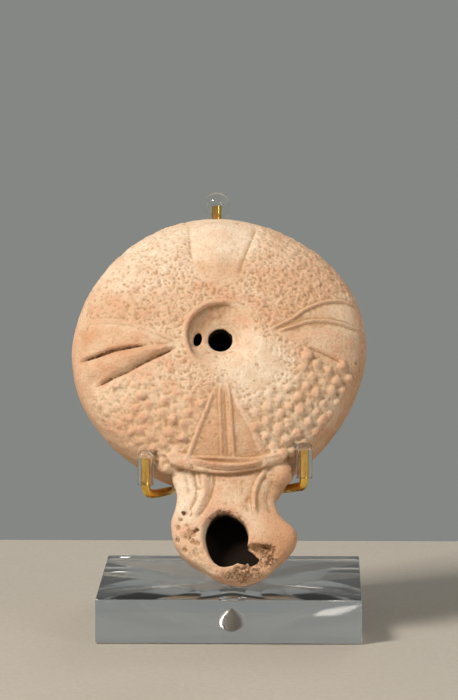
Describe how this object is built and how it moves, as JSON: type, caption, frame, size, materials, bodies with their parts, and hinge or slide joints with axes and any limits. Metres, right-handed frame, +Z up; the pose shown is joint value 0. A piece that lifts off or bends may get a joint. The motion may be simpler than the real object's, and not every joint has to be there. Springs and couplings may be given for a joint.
{
  "type": "roman oil lamp on a clear display stand",
  "caption": "Round mould-made clay oil lamp with bosses, four leaves and an eared nozzle, leaning in a brass wire cradle on a clear post and block.",
  "frame": {"origin": "centre of the underside of the clear base block", "axes": "+Z up, +X to the right as seen from the front, +Y from the lamp's face towards the post behind it"},
  "size_m": [0.0669, 0.0696, 0.0978],
  "materials": {
    "clay": "unglazed fired clay, worn and pitted",
    "acrylic": "polished clear acrylic",
    "brass": "polished brass wire",
    "silicone": "clear soft silicone sleeve"
  },
  "bodies": {
    "root": {"lamp_body": "clay", "base_block": "acrylic", "post_rod": "acrylic", "brass_cradle": "brass", "sleeve_top": "silicone", "sleeve_left": "silicone", "sleeve_right": "silicone"}
  },
  "joints": []
}
